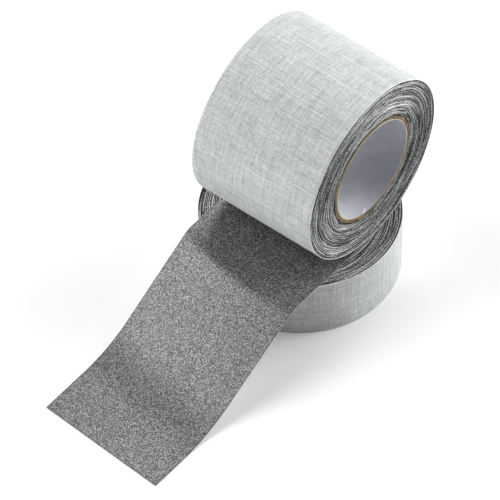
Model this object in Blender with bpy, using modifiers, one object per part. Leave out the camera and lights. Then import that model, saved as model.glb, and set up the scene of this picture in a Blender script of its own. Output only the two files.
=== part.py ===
"""Duct tape: a wide roll lies on its side on a narrow roll, and its free end runs down to the floor.

+X runs along the wide roll's axis, the free end points to -Y and +Z is up. The origin is on the
floor, under the middle of everything.
"""

import math

import bmesh
import bpy
from mathutils import Vector

# Driving dimensions, in metres and radians.
WIDE_WIDTH = 0.1016
WIDE_RADIUS = 0.069
NARROW_WIDTH = 0.0480
NARROW_RADIUS = 0.0705
BORE_RADIUS = 0.0381
LINER_THICKNESS = 0.0004
PLY_THICKNESS = 0.0007
PLIES = ("inner", "middle", "outer")
BACKING_THICKNESS = 0.00015
ADHESIVE_THICKNESS = 0.0001
LAYER_GAP = 0.00005
GAP = 0.0003
CORE_INSET = 0.0002
WIDE_OFFSET = Vector((0.0027, 0.0106))

TAIL_YAW = math.radians(0.8)
TAIL_LENGTH = 0.2400
TAIL_END_SLANT = 0.059
TAIL_FLOOR_CLEARANCE = 0.0002
BEND_START = 0.0812
BEND_RADIUS = 0.0187
SLOPE = math.radians(30.1)
LANDING_RADIUS = 0.0880
BEND_SLANT = 0.101
LANDING_SLANT = 0.159
SLANT_FADE = 0.100
BOW = 0.0074
BOW_FADE = 0.120
RIM_SPLIT = 0.064
FLOOR_SPLIT = 0.190

TURN_STEPS = 64
TAIL_COLUMNS = 10
RIM_STEP = 0.0024
PLAIN_STEP = 0.0065

# Worked out from the driving dimensions.
TAPE_THICKNESS = BACKING_THICKNESS + LAYER_GAP + ADHESIVE_THICKNESS
TAIL_TOP = NARROW_WIDTH + GAP + TAPE_THICKNESS
WIDE_AXIS_HEIGHT = TAIL_TOP + GAP + WIDE_RADIUS
HALF_WIDE = WIDE_WIDTH / 2

CLOTH = ("cloth", (0.62, 0.65, 0.66), 0.65)
ADHESIVE = ("adhesive", (0.13, 0.135, 0.135), 0.6)
TAPE_EDGE = ("tape_edge", (0.16, 0.16, 0.165), 0.7)
KRAFT = ("kraft", (0.42, 0.33, 0.24), 0.85)
LINER = ("white_paper", (0.80, 0.80, 0.83), 0.6)


def tail_profile(along):
    """Distance out and height of the tape's top, at a length along it from under the roll."""
    bend_drop = BEND_RADIUS * (1 - math.cos(SLOPE))
    landing_drop = LANDING_RADIUS * (1 - math.cos(SLOPE))
    landed = TAPE_THICKNESS + TAIL_FLOOR_CLEARANCE
    slope_length = (TAIL_TOP - landed - bend_drop - landing_drop) / math.sin(SLOPE)
    bend_end = BEND_RADIUS * SLOPE
    slope_end = bend_end + slope_length
    landing_end = slope_end + LANDING_RADIUS * SLOPE
    past = along - BEND_START
    if past <= 0:
        return along, TAIL_TOP
    if past <= bend_end:
        turn = past / BEND_RADIUS
        return (BEND_START + BEND_RADIUS * math.sin(turn),
                TAIL_TOP - BEND_RADIUS * (1 - math.cos(turn)))
    out = BEND_START + BEND_RADIUS * math.sin(SLOPE)
    if past <= slope_end:
        run = past - bend_end
        return out + run * math.cos(SLOPE), TAIL_TOP - bend_drop - run * math.sin(SLOPE)
    out += slope_length * math.cos(SLOPE)
    turn = max(SLOPE - (past - slope_end) / LANDING_RADIUS, 0.0)
    out += LANDING_RADIUS * (math.sin(SLOPE) - math.sin(turn)) + max(past - landing_end, 0.0)
    return out, landed + LANDING_RADIUS * (1 - math.cos(turn))


def tail_point(across, along):
    """A point on the tape's top face, from the middle of the line where it leaves the roll.

    The bends run slightly askew, and the edges, which nothing holds up, drop before the middle.
    """
    past = along - BEND_START
    fade = min(max(past / SLANT_FADE, 0.0), 1.0)
    slant = BEND_SLANT + (LANDING_SLANT - BEND_SLANT) * fade
    bow = BOW * (across / HALF_WIDE) ** 2 * min(max(1 - past / BOW_FADE, 0.0), 1.0)
    lead = bow - slant * across
    out, height = tail_profile(along + lead)
    out -= lead
    x = across * math.cos(TAIL_YAW) - out * math.sin(TAIL_YAW)
    y = -out * math.cos(TAIL_YAW) - across * math.sin(TAIL_YAW)
    return Vector((x, y, height))


def tail_end(across):
    """Length along the tape where its slanting end cut is, at a distance from its middle."""
    return TAIL_LENGTH + TAIL_END_SLANT * across


FRONT = tail_point(HALF_WIDE, tail_end(HALF_WIDE)).y + WIDE_OFFSET.y
BACK = max(WIDE_OFFSET.y + WIDE_RADIUS, NARROW_RADIUS)
NARROW_CENTRE = Vector((0, -(FRONT + BACK) / 2, 0))
WIDE_CENTRE = NARROW_CENTRE + Vector((WIDE_OFFSET.x, WIDE_OFFSET.y, 0))


def make_material(name, colour, roughness):
    """A Principled material, made once for each name."""
    material = bpy.data.materials.get(name)
    if material is None:
        material = bpy.data.materials.new(name)
        material.use_nodes = True
        shader = material.node_tree.nodes["Principled BSDF"]
        shader.inputs["Base Color"].default_value = (*colour, 1)
        shader.inputs["Roughness"].default_value = roughness
        shader.inputs["Metallic"].default_value = 0
        material.diffuse_color = (*colour, 1)
    return material


def add_empty(name, collection, location, parent=None):
    """An empty on a joint's axis, given in world coordinates."""
    empty = bpy.data.objects.new(name, None)
    empty.empty_display_size = 0.02
    collection.objects.link(empty)
    empty.parent = parent
    empty.location = Vector(location) - (parent_origin(parent) if parent else Vector())
    return empty


def parent_origin(empty):
    """World position of an empty whose parents are not rotated."""
    origin = Vector()
    while empty:
        origin += empty.location
        empty = empty.parent
    return origin


def settle(obj):
    """Keep the evaluated mesh, shaded smooth with its corners sharp."""
    bpy.context.view_layer.update()
    evaluated = obj.evaluated_get(bpy.context.evaluated_depsgraph_get())
    mesh = bpy.data.meshes.new_from_object(evaluated)
    mesh.name = obj.name
    obj.modifiers.clear()
    obj.data = mesh
    mesh.shade_smooth()
    mesh.set_sharp_from_angle(angle=math.radians(35))


def turned_tube(name, inner, outer, length, look, parent, collection):
    """A tube turned about the parent's local Z, centred on the parent."""
    half = length / 2
    profile = [(outer, half), (outer, -half), (inner, -half), (inner, half)]
    mesh = bpy.data.meshes.new(name)
    mesh.from_pydata([(r, 0, z) for r, z in profile], [(0, 1), (1, 2), (2, 3), (3, 0)], [])
    mesh.materials.append(make_material(*look))
    obj = bpy.data.objects.new(name, mesh)
    collection.objects.link(obj)
    obj.parent = parent
    screw = obj.modifiers.new("turn", "SCREW")
    screw.steps = screw.render_steps = TURN_STEPS
    screw.use_merge_vertices = True
    screw.merge_threshold = 0.00001
    settle(obj)
    return obj


def add_roll(prefix, radius, width, parent, collection):
    """Paper core, wound tape and outermost turn, all about the parent's local Z."""
    core_length = width - 2 * CORE_INSET
    inner = BORE_RADIUS
    outer = inner + LINER_THICKNESS
    turned_tube(f"{prefix}_bore_liner", inner, outer, core_length, LINER, parent, collection)
    for ply in PLIES:
        inner = outer + GAP
        outer = inner + PLY_THICKNESS
        turned_tube(f"{prefix}_core_{ply}_ply", inner, outer, core_length, KRAFT, parent, collection)
    turn_inner = radius - TAPE_THICKNESS
    turned_tube(f"{prefix}_tape_winding", outer + GAP, turn_inner - GAP, width, TAPE_EDGE,
                parent, collection)
    turned_tube(f"{prefix}_outer_turn", turn_inner, radius, width, CLOTH, parent, collection)


def stations(start, end):
    """Lengths along the tape where its cross lines lie, closest together over the rim."""
    stops = [start]
    while end - stops[-1] > RIM_STEP:
        at_rim = RIM_SPLIT < stops[-1] < BEND_START + BEND_RADIUS * SLOPE
        stops.append(min(stops[-1] + (RIM_STEP if at_rim else PLAIN_STEP), end))
    stops[-1] = end
    return stops


def tape_layer(name, start, end, depth, thickness, look, parent, collection):
    """One layer of a stretch of the tail, from depth to depth + thickness under its top face."""
    mesh = bpy.data.meshes.new(name)
    grid = bmesh.new()
    stops = stations(start, end(0))
    rows = len(stops) - 1
    bmesh.ops.create_grid(grid, x_segments=TAIL_COLUMNS, y_segments=rows, size=1)
    contact = Vector((WIDE_CENTRE.x, WIDE_CENTRE.y, 0))
    origin = parent_origin(parent)
    for vertex in grid.verts:
        across = vertex.co.x * HALF_WIDE
        stop = stops[round((1 - vertex.co.y) / 2 * rows)]
        along = start + (stop - start) * (end(across) - start) / (end(0) - start)
        vertex.co = contact + tail_point(across, along) - origin
    grid.to_mesh(mesh)
    grid.free()
    mesh.materials.append(make_material(*look))
    obj = bpy.data.objects.new(name, mesh)
    collection.objects.link(obj)
    obj.parent = parent
    sink = obj.modifiers.new("sink", "DISPLACE")
    sink.strength = -depth
    sink.mid_level = 0
    shell = obj.modifiers.new("layer", "SOLIDIFY")
    shell.thickness = thickness
    shell.offset = -1
    settle(obj)
    return obj


def add_tail_stretch(name, start, end, parent, collection):
    """Cloth backing below and adhesive on top, for one stretch of the tail."""
    tape_layer(f"{name}_adhesive", start, end, 0, ADHESIVE_THICKNESS, ADHESIVE,
               parent, collection)
    tape_layer(f"{name}_backing", start, end, ADHESIVE_THICKNESS + LAYER_GAP,
               BACKING_THICKNESS, CLOTH, parent, collection)


def build():
    """Make both rolls and the tail, each moving group under an empty on its joint's axis."""
    for obj in list(bpy.data.objects):
        bpy.data.objects.remove(obj)
    collection = bpy.data.collections.new("duct_tape_roll")
    bpy.context.scene.collection.children.link(collection)

    narrow = add_empty("narrow_roll", collection, NARROW_CENTRE + Vector((0, 0, NARROW_WIDTH / 2)))
    contact = Vector((WIDE_CENTRE.x, WIDE_CENTRE.y, TAIL_TOP))
    lift = add_empty("lift_off", collection, contact, narrow)
    axis = add_empty("roll_spin", collection, WIDE_CENTRE + Vector((0, 0, WIDE_AXIS_HEIGHT)), lift)
    rim_line = Vector((WIDE_CENTRE.x, WIDE_CENTRE.y, 0)) + tail_point(0, RIM_SPLIT)
    rim = add_empty("rim_bend", collection, rim_line, lift)
    floor_line = Vector((WIDE_CENTRE.x, WIDE_CENTRE.y, 0)) + tail_point(0, FLOOR_SPLIT)
    floor_line.z = tail_point(HALF_WIDE, FLOOR_SPLIT).z
    floor = add_empty("floor_bend", collection, floor_line, rim)

    add_roll("narrow", NARROW_RADIUS, NARROW_WIDTH, narrow, collection)
    add_roll("wide", WIDE_RADIUS, WIDE_WIDTH, axis, collection)
    axis.rotation_euler = (0, math.pi / 2, 0)
    half_gap = GAP / 2
    add_tail_stretch("tail_upper", 0, lambda across: RIM_SPLIT - half_gap, lift, collection)
    add_tail_stretch("tail_middle", RIM_SPLIT + half_gap, lambda across: FLOOR_SPLIT - half_gap,
                     rim, collection)
    add_tail_stretch("tail_lower", FLOOR_SPLIT + half_gap, tail_end, floor, collection)


build()
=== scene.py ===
"""Looks of the duct tape: woven cloth, grained adhesive, wound edges and a paper core.

Every piece is lofted from cross-sections that are worked out from the CAD's boxes and dimensions.
The object stands in a pale studio.
"""

import math
from collections import namedtuple

import bpy
import numpy as np
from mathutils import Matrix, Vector


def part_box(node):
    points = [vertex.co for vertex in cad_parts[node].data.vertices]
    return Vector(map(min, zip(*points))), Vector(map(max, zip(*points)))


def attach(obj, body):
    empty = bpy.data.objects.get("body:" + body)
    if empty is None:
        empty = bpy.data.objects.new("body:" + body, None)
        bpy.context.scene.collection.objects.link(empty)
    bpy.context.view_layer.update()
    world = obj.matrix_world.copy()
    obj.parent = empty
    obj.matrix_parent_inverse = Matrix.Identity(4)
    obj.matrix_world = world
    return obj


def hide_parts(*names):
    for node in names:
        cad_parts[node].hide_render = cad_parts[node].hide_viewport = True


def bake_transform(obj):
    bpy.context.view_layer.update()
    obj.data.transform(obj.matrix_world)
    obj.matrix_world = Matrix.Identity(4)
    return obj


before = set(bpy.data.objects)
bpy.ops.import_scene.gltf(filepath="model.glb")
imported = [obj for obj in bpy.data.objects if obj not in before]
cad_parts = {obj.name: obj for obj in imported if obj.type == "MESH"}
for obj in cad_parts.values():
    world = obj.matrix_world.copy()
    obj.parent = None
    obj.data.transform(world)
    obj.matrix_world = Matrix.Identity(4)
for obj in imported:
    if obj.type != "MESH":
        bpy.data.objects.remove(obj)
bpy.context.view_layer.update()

# Tape and core, in metres, as in the CAD.
BORE_RADIUS = 0.0381
LINER_THICKNESS = 0.0004
PLY_STEP = 0.0011
PLIES = ("inner", "middle", "outer")
CORE_RADIUS = 0.0418
TAPE_THICKNESS = 0.0003
ADHESIVE_THICKNESS = 0.0001
LAYER_PITCH = 0.00029
GAP = 0.0003

# The free end, in metres and radians, as in the CAD.
TAIL_YAW = math.radians(0.8)
TAIL_LENGTH = 0.2400
TAIL_END_SLANT = 0.059
TAIL_FLOOR_CLEARANCE = 0.0002
BEND_START = 0.0812
BEND_RADIUS = 0.0187
SLOPE = math.radians(30.1)
LANDING_RADIUS = 0.0880
BEND_SLANT = 0.101
LANDING_SLANT = 0.159
SLANT_FADE = 0.100
BOW = 0.0074
BOW_FADE = 0.120

Roll = namedtuple("Roll", "name body centre u v w radius half_width")


def find_roll(name, axis):
    """A roll's place and size, from its outermost turn's box. Its axis is world axis 0 or 2."""
    low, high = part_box(f"{name}_outer_turn")
    u, v = (1, 2) if axis == 0 else (0, 1)
    units = np.eye(3)
    centre = np.array((low + high) / 2)
    return Roll(name, f"{name}_roll", centre, units[u], units[v], units[axis],
                (high[u] - low[u]) / 2, (high[axis] - low[axis]) / 2)


WIDE = find_roll("wide", 0)
NARROW = find_roll("narrow", 2)
TAIL_TOP = WIDE.centre[2] - WIDE.radius - GAP


# Camera and light.

CAMERA_AZIMUTH, CAMERA_ELEVATION = 38.3, 49.4
CAMERA_DISTANCE = 5.417
CAMERA_LENS = 570
AIM_HEIGHT = 0.0608
AIM_LEFT, AIM_DOWN = 0.0344, 0.0360


def direction(azimuth, elevation):
    """Unit vector towards a viewer at these angles; azimuth 0 is -Y, and 90 is +X."""
    a, e = math.radians(azimuth), math.radians(elevation)
    return Vector((math.sin(a) * math.cos(e), -math.cos(a) * math.cos(e), math.sin(e)))


def add_camera():
    """A long lens, aimed a little left of and below the narrow roll's middle."""
    towards = direction(CAMERA_AZIMUTH, CAMERA_ELEVATION)
    turn = towards.to_track_quat("Z", "Y")
    right, up = turn @ Vector((1, 0, 0)), turn @ Vector((0, 1, 0))
    aim = Vector((NARROW.centre[0], NARROW.centre[1], AIM_HEIGHT))
    aim = aim - right * AIM_LEFT - up * AIM_DOWN
    data = bpy.data.cameras.new("camera")
    data.lens = CAMERA_LENS
    data.sensor_width = 36
    data.clip_end = 50
    camera = bpy.data.objects.new("camera", data)
    camera.location = aim + towards * CAMERA_DISTANCE
    camera.rotation_euler = turn.to_euler()
    bpy.context.scene.collection.objects.link(camera)
    bpy.context.scene.camera = camera


SOFTBOX_DISTANCE = 2.6
FLOOR_REACH = 4.0
FLOOR_ALBEDO = 0.86

# Azimuth and elevation in degrees, size in metres, and power in watts.
SOFTBOXES = ((142, 26, 2.2, 74), (145, 12, 1.1, 24), (208, 51, 1.5, 31), (305, 46, 2.0, 41),
             (318, 25, 2.2, 20), (318, 12, 1.1, 23))


def add_softbox(number, azimuth, elevation, size, power):
    """A square area light that faces the object."""
    data = bpy.data.lights.new(f"softbox_{number}", "AREA")
    data.shape = "SQUARE"
    data.size = size
    data.energy = power
    light = bpy.data.objects.new(data.name, data)
    towards = direction(azimuth, elevation)
    light.location = Vector(WIDE.centre) + towards * SOFTBOX_DISTANCE
    light.rotation_euler = towards.to_track_quat("Z", "Y").to_euler()
    bpy.context.scene.collection.objects.link(light)


def add_studio():
    """Pale floor, faintly lit from within, and softboxes behind the rolls and on the left."""
    world = bpy.data.worlds.new("studio")
    world.use_nodes = True
    background = world.node_tree.nodes["Background"]
    background.inputs["Color"].default_value = (1, 1, 1, 1)
    background.inputs["Strength"].default_value = 0.02
    bpy.context.scene.world = world
    bpy.context.scene.view_settings.view_transform = "Standard"
    for number, softbox in enumerate(SOFTBOXES):
        add_softbox(number, *softbox)

    mesh = bpy.data.meshes.new("floor")
    corners = [(x * FLOOR_REACH, y * FLOOR_REACH, 0)
               for x, y in ((-1, -1), (1, -1), (1, 1), (-1, 1))]
    mesh.from_pydata(corners, [], [(0, 1, 2, 3)])
    look = Look("floor", roughness=0.9)
    look.set("Base Color", (FLOOR_ALBEDO, FLOOR_ALBEDO, FLOOR_ALBEDO, 1))
    look.set("Emission Color", (1, 1, 1, 1))
    look.set("Emission Strength", 0.10)
    mesh.materials.append(look.material)
    floor = bpy.data.objects.new("floor", mesh)
    bpy.context.scene.collection.objects.link(floor)


# Materials.

class Look:
    """A Principled material that is put together from nodes."""

    def __init__(self, name, roughness=0.5, specular=0.5):
        self.material = bpy.data.materials.new(name)
        self.material.use_nodes = True
        self.tree = self.material.node_tree
        self.shader = self.tree.nodes["Principled BSDF"]
        self.set("Roughness", roughness)
        self.set("Specular IOR Level", specular)

    def set(self, socket, value):
        """A value or another node's output, into a socket of the shader."""
        self.feed(self.shader.inputs[socket], value)

    def feed(self, socket, value):
        """A value or another node's output, into any socket."""
        if isinstance(value, bpy.types.NodeSocket):
            self.tree.links.new(value, socket)
        else:
            socket.default_value = value

    def node(self, kind, **settings):
        made = self.tree.nodes.new("ShaderNode" + kind)
        for key, value in settings.items():
            setattr(made, key, value)
        return made

    def tape(self, name="tape"):
        """A vector that is stored on the mesh's points."""
        return self.node("Attribute", attribute_name=name).outputs["Vector"]

    def split(self, vector):
        made = self.node("SeparateXYZ")
        self.feed(made.inputs[0], vector)
        return made.outputs[0], made.outputs[1], made.outputs[2]

    def maths(self, operation, *values, clamp=False):
        made = self.node("Math", operation=operation, use_clamp=clamp)
        for socket, value in zip(made.inputs, values):
            self.feed(socket, value)
        return made.outputs[0]

    def combine(self, *values):
        made = self.node("CombineXYZ")
        for socket, value in zip(made.inputs, values):
            self.feed(socket, value)
        return made.outputs[0]

    def random(self, vector):
        """A number from 0 to 1 that has nothing to do with its neighbours."""
        made = self.node("TexWhiteNoise", noise_dimensions="3D")
        self.feed(made.inputs["Vector"], vector)
        return made.outputs["Value"]

    def cells(self, vector, scale):
        """Irregular cells: distance from the nearest centre, and a number of the cell's own."""
        made = self.node("TexVoronoi")
        self.feed(made.inputs["Vector"], vector)
        self.feed(made.inputs["Scale"], scale)
        return made.outputs["Distance"], self.split(made.outputs["Color"])[0]

    def stretch(self, vector, *scales):
        made = self.node("VectorMath", operation="MULTIPLY")
        self.feed(made.inputs[0], vector)
        self.feed(made.inputs[1], scales)
        return made.outputs[0]

    def noise(self, vector, scales, detail=2.0, roughness=0.5):
        """Noise from 0 to 1, with its own fineness along each of the vector's axes."""
        made = self.node("TexNoise")
        self.feed(made.inputs["Vector"], self.stretch(vector, *scales))
        self.feed(made.inputs["Scale"], 1.0)
        self.feed(made.inputs["Detail"], detail)
        self.feed(made.inputs["Roughness"], roughness)
        return made.outputs[0]

    def spread(self, value, low, high, to_low=-1.0, to_high=1.0):
        """A value from low to high, spread over another range and held there."""
        made = self.node("MapRange", clamp=True)
        for socket, number in zip(made.inputs, (value, low, high, to_low, to_high)):
            self.feed(socket, number)
        return made.outputs[0]

    def total(self, *terms):
        """Sum of (value, weight) pairs."""
        result = 0.0
        for value, weight in terms:
            result = self.maths("MULTIPLY_ADD", value, weight, result)
        return result

    def ramp(self, value, *stops):
        made = self.node("ValToRGB")
        self.feed(made.inputs[0], value)
        elements = made.color_ramp.elements
        while len(elements) < len(stops):
            elements.new(0.5)
        for element, (place, colour) in zip(elements, stops):
            element.position = place
            element.color = (*colour, 1)
        return made.outputs[0]

    def bump(self, height, depth):
        """Relief: height 1 stands depth metres above height 0."""
        made = self.node("Bump")
        self.feed(made.inputs["Strength"], 1.0)
        self.feed(made.inputs["Distance"], depth)
        self.feed(made.inputs["Height"], height)
        self.set("Normal", made.outputs[0])


THREAD_PITCH = 0.00080
THREADS_AROUND = round(2 * math.pi * WIDE.radius / THREAD_PITCH)
# Width of the painted highlight along a wound turn's rims.
RIM_HIGHLIGHT_WIDTH = 0.0008


def cloth_look(name, half_width, wound):
    """Light grey plain weave. On a wound turn, tape's Y and Z are the place on the circle, and a
    painted highlight lightens both rims.
    """
    look = Look(name, roughness=0.6, specular=0.3)
    tape = look.tape()
    across, y, z = look.split(tape)
    warp = look.maths("DIVIDE", across, THREAD_PITCH)
    if wound:
        weft = look.maths("MULTIPLY", look.maths("ARCTAN2", z, y), THREADS_AROUND / (2 * math.pi))
    else:
        weft = look.maths("DIVIDE", y, THREAD_PITCH)
    warp_number, weft_number = look.maths("FLOOR", warp), look.maths("FLOOR", weft)
    own_warp = look.maths("MULTIPLY", warp_number, 7.31)
    own_weft = look.maths("MULTIPLY", weft_number, 5.17)
    along_warp = look.combine(own_warp, look.maths("MULTIPLY", y, 55),
                              look.maths("MULTIPLY", z, 55))
    along_weft = look.combine(look.maths("MULTIPLY", across, 40), own_weft, 0.0)
    warp_tone = look.spread(look.noise(along_warp, (1, 1, 1), detail=2), 0.3, 0.7)
    weft_tone = look.spread(look.noise(along_weft, (1, 1, 1), detail=2), 0.3, 0.7)
    crossing = look.random(look.combine(warp_number, weft_number, 0.0))
    over = look.maths("PINGPONG", look.maths("ADD", warp_number, weft_number), 1.0)
    warp_round = look.maths("SINE", look.maths("MULTIPLY", warp, 2 * math.pi))
    weft_round = look.maths("SINE", look.maths("MULTIPLY", weft, 2 * math.pi))
    pick = look.random(look.combine(weft_number, 3.0, 0.0))
    run = look.spread(look.noise(look.combine(look.maths("MULTIPLY", across, 16), own_weft, 9.0),
                                 (1, 1, 1)), 0.42, 0.52, 0, 1)
    dark_pick = look.maths("MULTIPLY", look.spread(pick, 0.94, 0.95, 0, 1), run)
    light_pick = look.maths("MULTIPLY", look.spread(pick, 0.07, 0.06, 0, 1), run)
    slub = look.spread(look.noise(tape, (900, 160, 160), detail=1), 0.68, 0.76, 0, 1)
    blotch = look.spread(look.noise(tape, (60, 60, 60), detail=2), 0.3, 0.7)
    shade = look.total((warp_tone, 0.16), (weft_tone, 0.16), (look.spread(crossing, 0, 1), 0.18),
                       (warp_round, 0.12), (weft_round, 0.10), (dark_pick, -0.16),
                       (light_pick, 0.22), (slub, 0.22), (blotch, 0.02))
    # Painted highlight: a wound turn is painted lighter near both of its rims.
    if wound:
        rim = look.spread(look.maths("ABSOLUTE", across), half_width - RIM_HIGHLIGHT_WIDTH,
                          half_width - RIM_HIGHLIGHT_WIDTH / 2, 0, 1)
        shade = look.total((rim, 0.45), (shade, 1.0))
    colour = look.ramp(look.spread(shade, -0.8, 0.8, 0, 1),
                       (0.0, (0.14, 0.145, 0.15)), (0.5, (0.475, 0.49, 0.497)),
                       (1.0, (0.80, 0.81, 0.815)))
    look.set("Base Color", colour)
    height = look.total((warp_round, 0.4), (weft_round, 0.3), (over, 0.15), (warp_tone, 0.2),
                        (weft_tone, 0.2), (slub, 0.8), (light_pick, 0.5), (dark_pick, -0.5))
    look.bump(height, 0.00003)
    return look.material


def adhesive_look():
    """Dark grey, slightly glossy adhesive, with a fine pebbled grain that catches the light, and
    painted shade along its sides and end.
    """
    look = Look("adhesive_film")
    look.set("IOR", 1.68)
    tape = look.tape()
    distance, own = look.cells(tape, 2500)
    clump = look.noise(tape, (330, 330, 330), detail=2)
    patch = look.noise(tape, (28, 28, 28), detail=1)
    across, along, _ = look.split(tape)
    to_end = look.total((across, TAIL_END_SLANT), (along, -1.0), (TAIL_LENGTH, 1.0))
    to_side = look.total((look.maths("ABSOLUTE", across), -1.0), (WIDE.half_width, 1.0))
    # Painted shade: the adhesive is darkened within about a millimetre of its sides and its end
    # cut.
    rim = look.spread(look.maths("MINIMUM", to_end, to_side), 0.0012, 0.0004, 0, 1)
    shade = look.total((look.spread(own, 0.60, 0.95, 0, 1), 0.9), (clump, 0.06), (patch, 0.04),
                       (rim, -0.5))
    colour = look.ramp(shade, (0.0, (0.005, 0.0055, 0.0055)), (1.0, (0.385, 0.392, 0.394)))
    look.set("Base Color", colour)
    look.set("Roughness", look.spread(own, 0, 1, 0.46, 0.32))
    look.set("Specular IOR Level", look.spread(own, 0.4, 0.9, 0.35, 1.0))
    look.bump(look.total((distance, -0.8), (own, 0.5)), 0.00005)
    return look.material


def wound_edge_look():
    """Edges of the wound turns, each with dark adhesive inside and light cloth outside.

    lane is the angle and the turn; relief is how far a turn stands out, the side, and the share
    of the way to the outermost turn.
    """
    look = Look("wound_edges", roughness=0.6, specular=0.4)
    lane = look.tape("lane")
    level, coat, share = look.split(look.tape("relief"))
    band = look.noise(lane, (1.5, 1.5, 0.06), detail=1)
    drift = look.noise(lane, (1.4, 1.4, 0.07), detail=1)
    groove = look.maths("SINE", look.total((look.split(lane)[2], 1.05), (drift, 22.0)))
    line = look.noise(lane, (1.0, 1.0, 0.55), detail=1)
    hair = look.noise(lane, (2.2, 2.2, 0.95), detail=1)
    fray = look.noise(lane, (75, 75, 0.37), detail=1)
    rim = look.spread(share, 0.975, 0.99, 0, 1)
    # The level term paints turns that stand out a little lighter and sunken ones a little darker:
    # painted shade of the relief.
    shade = look.total((coat, 0.46), (look.spread(band, 0.3, 0.7), 0.05),
                       (groove, 0.75), (look.spread(line, 0.44, 0.56), 0.62),
                       (look.spread(hair, 0.43, 0.57), 0.35), (look.spread(fray, 0.38, 0.62), 0.58),
                       (level, 0.10), (rim, -0.5))
    colour = look.ramp(look.spread(shade, -1.1, 1.1, 0, 1),
                       (0.0, (0.002, 0.0025, 0.0025)), (0.45, (0.022, 0.025, 0.025)),
                       (0.65, (0.105, 0.114, 0.112)), (1.0, (0.72, 0.74, 0.73)))
    look.set("Base Color", colour)
    return look.material


def kraft_look():
    """Core board: tan at the bore, olive brown in the middle, brown and then black outside.

    lane is the angle and the depth, from 0 at the bore to 1 at the tape.
    """
    look = Look("kraft_board", roughness=0.85, specular=0.2)
    lane = look.tape("lane")
    depth = look.split(lane)[2]
    fibre = look.noise(lane, (34, 34, 7), detail=3, roughness=0.7)
    patch = look.noise(lane, (6, 6, 2), detail=1)
    place = look.total((depth, 1.0), (look.spread(patch, 0.3, 0.7), 0.16))
    colour = look.ramp(place, (0.04, (0.46, 0.37, 0.24)), (0.24, (0.20, 0.155, 0.085)),
                       (0.38, (0.085, 0.075, 0.045)), (0.60, (0.10, 0.085, 0.048)),
                       (0.74, (0.30, 0.21, 0.10)), (0.88, (0.10, 0.07, 0.035)),
                       (0.96, (0.012, 0.011, 0.010)))
    grey = look.spread(fibre, 0.34, 0.66, 0.35, 1.75)
    tinted = look.node("VectorMath", operation="SCALE")
    look.feed(tinted.inputs[0], colour)
    look.feed(tinted.inputs["Scale"], grey)
    look.set("Base Color", tinted.outputs[0])
    look.bump(fibre, 0.0001)
    return look.material


def paper_look(name, half_width):
    """Smooth lining paper, faintly mottled, with a tan cut end."""
    look = Look(name, roughness=0.5, specular=0.4)
    tape = look.tape()
    mottle = look.noise(tape, (140, 140, 140), detail=3)
    colour = look.ramp(mottle, (0.3, (0.445, 0.45, 0.485)), (0.7, (0.515, 0.52, 0.555)))
    end = look.spread(look.maths("ABSOLUTE", look.split(tape)[0]), half_width - 0.00006,
                      half_width - 0.00002, 0, 1)
    # Mix's colour sockets are its inputs 6 and 7, and its output 2.
    mixed = look.node("Mix", data_type="RGBA")
    look.feed(mixed.inputs["Factor"], end)
    look.feed(mixed.inputs[6], colour)
    look.feed(mixed.inputs[7], (0.46, 0.38, 0.27, 1))
    look.set("Base Color", mixed.outputs[2])
    look.bump(mottle, 0.00003)
    return look.material


# Geometry.

def smooth_noise(rng, cells, cells_around):
    """Random smooth field of about -1 to 1, over a share from 0 to 1 and a periodic angle."""
    table = rng.uniform(-1, 1, (cells + 3, cells_around))

    def weights(t):
        return ((1 - t) ** 3 / 6, (3 * t ** 3 - 6 * t ** 2 + 4) / 6,
                (-3 * t ** 3 + 3 * t ** 2 + 3 * t + 1) / 6, t ** 3 / 6)

    def field(share, angle):
        x = np.clip(share, 0, 1) * (cells - 1e-6)
        y = np.mod(angle / (2 * math.pi), 1) * cells_around
        i, j = np.floor(x).astype(int), np.floor(y).astype(int)
        total = 0
        for a, row_weight in enumerate(weights(x - i)):
            for b, column_weight in enumerate(weights(y - j)):
                total = total + row_weight * column_weight * table[i + a, (j + b) % cells_around]
        return total * 1.6

    return field


def on_roll(roll, radius, angle, along_axis):
    """Points at a radius, an angle from the roll's u to its v, and a distance along its axis."""
    radius, angle, along_axis = np.broadcast_arrays(radius, angle, along_axis)
    return (roll.centre + (radius * np.cos(angle))[..., None] * roll.u
            + (radius * np.sin(angle))[..., None] * roll.v + along_axis[..., None] * roll.w)


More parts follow.
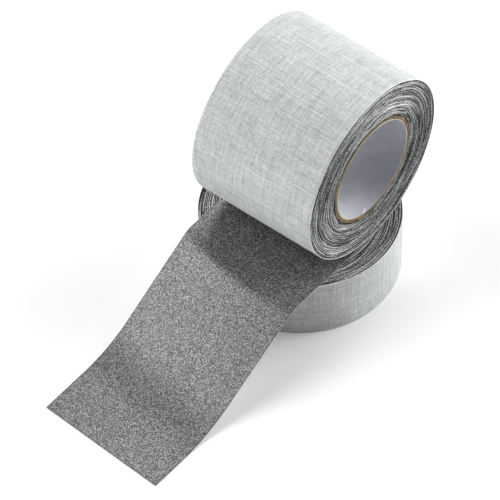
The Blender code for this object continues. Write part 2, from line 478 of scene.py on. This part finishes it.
def loft(name, sections, material, closed=False, **attributes):
    """A closed skin through cross-sections.

    Each section is a loop of points whose second half runs back beside its first, so that an end
    is capped by quads between the two halves.
    """
    rows, loop = sections.shape[:2]
    index = np.arange(rows * loop).reshape(rows, loop)
    turned = np.roll(index, -1, axis=1)
    if closed:
        after, turned_after = np.roll(index, -1, axis=0), np.roll(turned, -1, axis=0)
    else:
        after, turned_after, index, turned = index[1:], turned[1:], index[:-1], turned[:-1]
    quads = [np.stack([index, turned, turned_after, after], axis=-1).reshape(-1, 4)]
    if not closed:
        near = np.arange(loop // 2 - 1)
        far = loop - 1 - near
        quads.append(np.stack([near, far, far - 1, near + 1], axis=-1))
        last = (rows - 1) * loop
        quads.append(np.stack([near, near + 1, far - 1, far], axis=-1) + last)
    quads = np.concatenate(quads)
    points = sections.reshape(-1, 3)
    a, b, c, d = (points[quads[:, k]] for k in range(4))
    middle = points.mean(axis=0)
    volume = np.einsum("ij,ij->", a - middle, np.cross(b - middle, c - middle))
    volume += np.einsum("ij,ij->", a - middle, np.cross(c - middle, d - middle))
    if volume < 0:
        quads = quads[:, ::-1]
    mesh = bpy.data.meshes.new(name)
    mesh.from_pydata(points.tolist(), [], quads.tolist())
    for key, values in attributes.items():
        store = mesh.attributes.new(key, "FLOAT_VECTOR", "POINT")
        store.data.foreach_set("vector", values.reshape(-1).astype(np.float32))
    mesh.materials.append(material)
    mesh.shade_smooth()
    mesh.set_sharp_from_angle(angle=math.radians(50))
    obj = bpy.data.objects.new(name, mesh)
    bpy.context.scene.collection.objects.link(obj)
    return obj


TURN_STEPS = 128
TURN_FILL = 0.93
TURN_WAVE = 0.0011
TIP = 0.00008
RELIEF = 0.00070


def wound_tape(roll, outer, material, seed):
    """The wound turns as one spiral strip, with wavy lanes and edges that stand unevenly."""
    rng = np.random.default_rng(seed)
    turns = round((outer - CORE_RADIUS) / LAYER_PITCH) - 1
    pitch = (outer - CORE_RADIUS) / (turns + 1)
    turn = np.arange(turns * TURN_STEPS + 1) / TURN_STEPS
    angle = 2 * math.pi * turn
    wave = smooth_noise(rng, 7, 6)

    def radius(at):
        share = at / (turns + 1)
        return CORE_RADIUS + pitch * at + TURN_WAVE * np.sin(math.pi * share) * wave(share, angle)

    inner_face, outer_face = radius(turn), radius(turn + TURN_FILL)
    tip = (inner_face + outer_face) / 2
    share = turn / (turns + 1)
    sections, relief = [], []
    for side in (-1, 1):
        bands, lines = smooth_noise(rng, 60, 4), smooth_noise(rng, 84, 7)
        level = 0.2 * bands(share, angle) + 0.45 * lines(share, angle)
        edge = roll.half_width - RELIEF * (0.6 - 0.5 * level)
        loop = [(inner_face, edge - TIP, -1), (tip, edge, 0), (outer_face, edge - TIP, 1)][::-side]
        for r, w, coat in loop:
            sections.append(on_roll(roll, r, angle, side * w))
            relief.append(np.stack([level, np.full_like(level, coat), share], axis=-1))
    lane = [np.stack([np.cos(angle), np.sin(angle), turn], axis=-1)] * len(sections)
    obj = loft(f"{roll.name}_wound_tape", np.stack(sections, axis=1), material,
               lane=np.stack(lane, axis=1), relief=np.stack(relief, axis=1))
    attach(obj, roll.body)
    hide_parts(f"{roll.name}_tape_winding")


RING_ROUNDING = 0.00008


def ring_sections(roll, inner, outer, half_width, angle, columns):
    """Cross-sections of a ring or strip about a roll's axis: its outer face, then back inside."""
    flat = half_width - RING_ROUNDING
    across = np.linspace(-1, 1, columns)
    outer_points = [(outer - RING_ROUNDING, -half_width)] + [(outer, x * flat) for x in across]
    outer_points.append((outer - RING_ROUNDING, half_width))
    inner_points = [(inner, -w) for _, w in outer_points]
    loop = outer_points + inner_points
    points = np.stack([on_roll(roll, r, angle, w) for r, w in loop], axis=1)
    width = np.stack([np.broadcast_to(w, angle.shape) for _, w in loop], axis=1)
    circle = np.broadcast_to(angle[:, None], width.shape)
    tape = np.stack([width, roll.radius * np.cos(circle), roll.radius * np.sin(circle)], axis=-1)
    return points, tape


def outer_turn_wide(material):
    """The wide roll's outermost turn, a smooth ring of cloth."""
    steps = 288
    angle = np.arange(steps) * 2 * math.pi / steps
    inner = WIDE.radius - TAPE_THICKNESS - 0.00008
    points, tape = ring_sections(WIDE, inner, WIDE.radius, WIDE.half_width, angle, 49)
    obj = loft("wide_cloth_turn", points, material, closed=True, tape=tape)
    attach(obj, WIDE.body)
    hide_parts("wide_outer_turn")


LOOSE_END_ANGLE = math.radians(118)
LOOSE_END_OVERLAP = math.radians(14)


def outer_turn_narrow(material):
    """The narrow roll's outermost turn, whose loose end lies on its own start at the back."""
    steps = 300
    sweep = np.linspace(0, 2 * math.pi + LOOSE_END_OVERLAP, steps)
    angle = LOOSE_END_ANGLE - 2 * math.pi - LOOSE_END_OVERLAP + sweep
    rise = TAPE_THICKNESS * 1.05 * (sweep / (2 * math.pi) - 1 - LOOSE_END_OVERLAP / (2 * math.pi))
    outer = NARROW.radius + rise
    inner = outer - TAPE_THICKNESS
    points, tape = ring_sections(NARROW, inner, outer, NARROW.half_width, angle, 25)
    obj = loft("narrow_cloth_turn", points, material, tape=tape)
    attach(obj, NARROW.body)
    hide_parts("narrow_outer_turn")


CORE_STEPS = 160
PLY_ROUNDING = 0.00012
PLY_INSET, PLY_UNEVENNESS = 0.00015, 0.0001


def core(roll, kraft, seed):
    """Three plies of board and a lining, each a turned ring with an uneven cut end."""
    rng = np.random.default_rng(seed)
    angle = np.arange(CORE_STEPS) * 2 * math.pi / CORE_STEPS
    half_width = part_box(f"{roll.name}_bore_liner")[1] - Vector(roll.centre)
    half_width = abs(np.dot(np.array(half_width), roll.w))
    inner = BORE_RADIUS + LINER_THICKNESS
    for number, ply in enumerate(PLIES):
        outer = inner + PLY_STEP
        uneven = smooth_noise(rng, 1, 23)(np.zeros(CORE_STEPS), angle)
        end = half_width - PLY_INSET + PLY_UNEVENNESS * uneven
        rounding = PLY_ROUNDING
        loop = [(inner, -end + rounding), (inner + rounding, -end), (outer - rounding, -end),
                (outer, -end + rounding), (outer, end - rounding), (outer - rounding, end),
                (inner + rounding, end), (inner, end - rounding)]
        points = np.stack([on_roll(roll, r, angle, w) for r, w in loop], axis=1)
        depth = np.array([(r - BORE_RADIUS) / (3 * PLY_STEP) for r, _ in loop])
        lane = np.stack([np.stack([np.cos(angle), np.sin(angle), np.full(CORE_STEPS, d)], axis=-1)
                         for d in depth], axis=1)
        obj = loft(f"{roll.name}_ply_{ply}", points, kraft, closed=True, lane=lane)
        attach(obj, roll.body)
        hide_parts(f"{roll.name}_core_{ply}_ply")
        inner = outer
    points, tape = ring_sections(roll, BORE_RADIUS, BORE_RADIUS + LINER_THICKNESS, half_width,
                                 angle, 9)
    paper = paper_look(f"{roll.name}_lining_paper", half_width)
    obj = loft(f"{roll.name}_lining", points, paper, closed=True, tape=tape)
    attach(obj, roll.body)
    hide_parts(f"{roll.name}_bore_liner")


FLAKE_ANGLE, FLAKE_LEAN = math.radians(256), math.radians(4.5)
FLAKE_HEIGHT = 0.0028
FLAKE_HALF_WIDTH = 0.0009
FLAKE_THICKNESS = 0.00012


def lining_flake():
    """A torn white sliver of the lining that stands up off the wide roll's bore rim."""
    share = np.linspace(0, 1, 7)
    angle = FLAKE_ANGLE + FLAKE_LEAN * share
    radius = BORE_RADIUS - FLAKE_HEIGHT * share
    reach = (FLAKE_HALF_WIDTH * (1 - share) + 0.00008) / BORE_RADIUS
    near = WIDE.half_width - 0.0003 - 0.0012 * share ** 2
    far = near - FLAKE_THICKNESS
    loop = [(angle - reach, near), (angle + reach, near),
            (angle + reach, far), (angle - reach, far)]
    points = np.stack([on_roll(WIDE, radius, a, w) for a, w in loop], axis=1)
    look = Look("torn_paper", roughness=0.7, specular=0.2)
    look.set("Base Color", (0.9, 0.9, 0.9, 1))
    obj = loft("wide_lining_flake", points, look.material)
    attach(obj, WIDE.body)


# The free end.

WRAP_LENGTH = 0.045
WRAP_SINK = 0.0007


def tail_profile(along):
    """Distance out and height of the tape's top, at a length along it from under the roll."""
    bend_drop = BEND_RADIUS * (1 - math.cos(SLOPE))
    landing_drop = LANDING_RADIUS * (1 - math.cos(SLOPE))
    landed = TAPE_THICKNESS + TAIL_FLOOR_CLEARANCE
    slope_length = (TAIL_TOP - landed - bend_drop - landing_drop) / math.sin(SLOPE)
    bend_end = BEND_RADIUS * SLOPE
    slope_end = bend_end + slope_length
    landing_end = slope_end + LANDING_RADIUS * SLOPE
    past = along - BEND_START
    turn = np.clip(past / BEND_RADIUS, 0, SLOPE)
    out = np.minimum(along, BEND_START) + BEND_RADIUS * np.sin(turn)
    height = TAIL_TOP - BEND_RADIUS * (1 - np.cos(turn))
    run = np.clip(past - bend_end, 0, slope_length)
    out = out + run * math.cos(SLOPE)
    height = height - run * math.sin(SLOPE)
    left = np.clip(SLOPE - (past - slope_end) / LANDING_RADIUS, 0, SLOPE)
    out = (out + LANDING_RADIUS * (math.sin(SLOPE) - np.sin(left))
           + np.maximum(past - landing_end, 0))
    return out, height + LANDING_RADIUS * (math.cos(SLOPE) - np.cos(left))


def tail_surface(across, along):
    """Points on the tape's top face. Behind the contact line it follows the roll and sinks in."""
    past = along - BEND_START
    fade = np.clip(past / SLANT_FADE, 0, 1)
    slant = BEND_SLANT + (LANDING_SLANT - BEND_SLANT) * fade
    bow = BOW * (across / WIDE.half_width) ** 2 * np.clip(1 - past / BOW_FADE, 0, 1)
    lead = bow - slant * across
    out, height = tail_profile(along + lead)
    out = out - lead
    x = across * math.cos(TAIL_YAW) - np.maximum(out, 0) * math.sin(TAIL_YAW)
    y = -out * math.cos(TAIL_YAW) - across * math.sin(TAIL_YAW)
    back = np.maximum(y, 0)
    share = np.clip(back / WRAP_LENGTH, 0, 1)
    radius = WIDE.centre[2] - TAIL_TOP - WRAP_SINK * share * share * (3 - 2 * share)
    turn = back / (WIDE.radius + GAP)
    y = np.where(y > 0, radius * np.sin(turn), y)
    height = np.where(back > 0, WIDE.centre[2] - radius * np.cos(turn), height)
    return np.stack([x + WIDE.centre[0], y + WIDE.centre[1], height], axis=-1)


def tail_end(across):
    """Length along the tape where its slanting end cut is."""
    return TAIL_LENGTH + TAIL_END_SLANT * across


SHEET_COLUMNS, SHEET_STEP = 41, 0.0016


def tape_sheet(name, start, end, half_width, top, bottom, material):
    """A thin closed sheet between two depths under the tape's top face."""
    rows = int((end(0.0) - start) / SHEET_STEP) + 1
    across, share = np.meshgrid(np.linspace(-half_width, half_width, SHEET_COLUMNS),
                                np.linspace(0, 1, rows))
    along = start + share * (end(across) - start)
    small = 0.0002
    face = tail_surface(across, along)
    normal = np.cross(tail_surface(across + small, along) - tail_surface(across - small, along),
                      tail_surface(across, along - small) - tail_surface(across, along + small))
    normal /= np.linalg.norm(normal, axis=-1, keepdims=True)
    sections = np.concatenate([face - normal * top, (face - normal * bottom)[:, ::-1]], axis=1)
    place = np.stack([across, along, np.zeros_like(across)], axis=-1)
    tape = np.concatenate([place, place[:, ::-1]], axis=1)
    return loft(name, sections, material, tape=tape)


NEAR_END = 0.130
SHEET_EDGE = 0.0002


def tail_stretch(name, start, end, nodes, cloth, adhesive):
    """Cloth and adhesive of one stretch of the free end, in place of the CAD's pieces named by
    nodes.
    """
    inset = WIDE.half_width - SHEET_EDGE
    layers = (("adhesive", inset, 0, ADHESIVE_THICKNESS, adhesive, "adhesive"),
              ("cloth", WIDE.half_width, ADHESIVE_THICKNESS, TAPE_THICKNESS, cloth,
               "cloth_backing"))
    for layer, half_width, top, bottom, material, slot in layers:
        obj = tape_sheet(f"{name}_{layer}", start, end, half_width, top, bottom, material)
        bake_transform(obj)
        cad = "adhesive" if layer == "adhesive" else "backing"
        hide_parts(*[f"{node}_{cad}" for node in nodes])


def build():
    add_camera()
    add_studio()
    laid_cloth = cloth_look("cloth_laid", WIDE.half_width, wound=False)
    adhesive = adhesive_look()
    edges = wound_edge_look()
    kraft = kraft_look()
    for seed, roll in ((11, WIDE), (23, NARROW)):
        wound_tape(roll, roll.radius - TAPE_THICKNESS - 0.0001, edges, seed)
        core(roll, kraft, seed + 1)
    lining_flake()
    outer_turn_wide(cloth_look("cloth_wide", WIDE.half_width, wound=True))
    outer_turn_narrow(cloth_look("cloth_narrow", NARROW.half_width, wound=True))
    tail_stretch("tail_near", -WRAP_LENGTH, lambda across: NEAR_END + 0 * across,
                 ("tail_upper", "tail_middle"),
                 laid_cloth, adhesive)
    tail_stretch("tail_far", NEAR_END, tail_end,
                 ("tail_lower",), laid_cloth, adhesive)


build()
